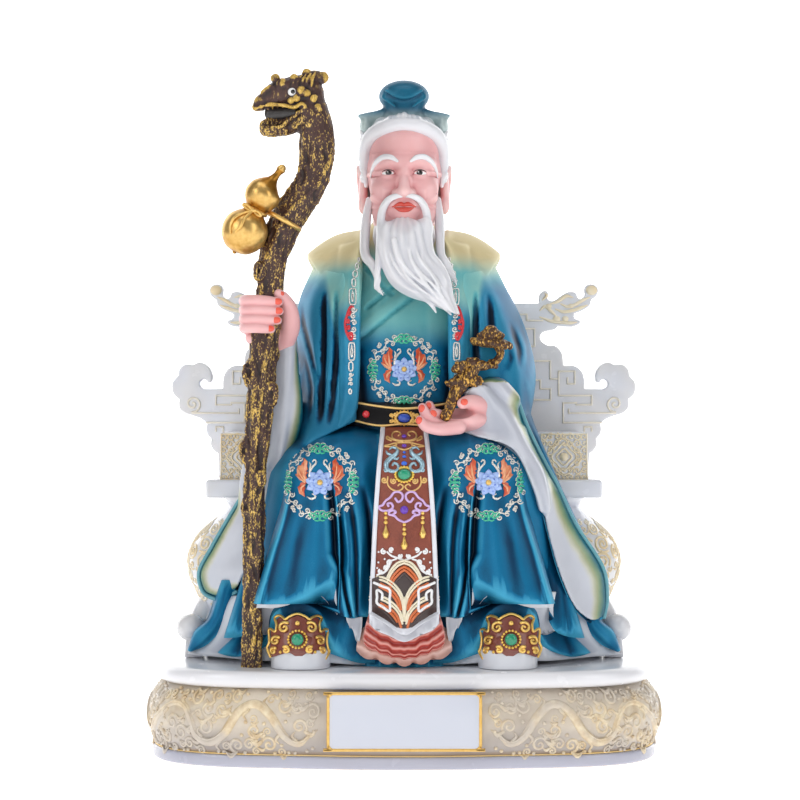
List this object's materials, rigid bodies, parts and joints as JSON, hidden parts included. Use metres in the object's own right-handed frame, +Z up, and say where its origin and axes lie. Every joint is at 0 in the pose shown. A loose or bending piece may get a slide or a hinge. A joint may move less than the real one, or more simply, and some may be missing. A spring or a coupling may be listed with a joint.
{
  "type": "seated medicine king figure",
  "caption": "Cast resin seated elder in teal robes on a white throne and oval base, holding a dragon-headed staff with a gourd and a fungus sprig.",
  "frame": {"origin": "bottom centre of the plinth, on the surface it stands on", "axes": "+Z up, the figure looks along -Y, +X to the viewer's right"},
  "size_m": [0.3622, 0.2607, 0.481],
  "materials": {
    "plinth_jade": "gloss cast resin, beige wash with worn gold on the relief",
    "slab_jade": "polished white cast resin like pale jade",
    "panel_frame": "thin gold paint line",
    "throne_jade": "gloss white cast resin like pale jade",
    "throne_gilding": "cream and pale gold wash on raised relief",
    "robe_teal": "pearl teal-blue lacquer, fine sparkle, darker in the folds",
    "cape_ombre": "pearl lacquer fading from beige through pale green to teal",
    "lining_white": "gloss white resin lining, pale green at the hem",
    "sleeve_trim": "pale green border with silver and red motifs",
    "skin": "satin painted skin, rosy shading",
    "eyes": "gloss painted eye",
    "lips_nails": "gloss red paint",
    "hair_white": "gloss white resin, carved strands with bluish hollows",
    "gold_relief": "raised gold paint",
    "silver_relief": "raised silver paint",
    "green_enamel": "raised emerald paint with silver edge",
    "coral_enamel": "raised coral-orange paint",
    "blue_enamel": "raised layered blue paint",
    "red_enamel": "gloss red",
    "lilac_enamel": "raised lilac paint",
    "belt_black": "black satin with gold edge",
    "apron_brown": "red-brown satin lacquer",
    "border_white": "raised white relief lines",
    "frill_coral": "coral to pale pink, soft shading",
    "shoe_brown": "dark brown under gold scrolls",
    "gem_green": "polished round gem paint",
    "gem_blue": "polished blue gem",
    "gem_purple": "polished purple gem",
    "gem_red": "polished red gem",
    "staff_wood": "dark purple-brown bark with gold dry-brushed ridges",
    "staff_mouth": "dark mouth",
    "staff_eye": "white painted eye",
    "gourd_gold": "satin gold, darker in the hollows",
    "lingzhi_bronze": "dark bronze-brown with gold highlights"
  },
  "bodies": {
    "root": {"base": "plinth_jade", "throne": "throne_jade", "figure": "robe_teal", "staff": "staff_wood", "gourd": "gourd_gold", "lingzhi": "lingzhi_bronze"}
  },
  "joints": []
}
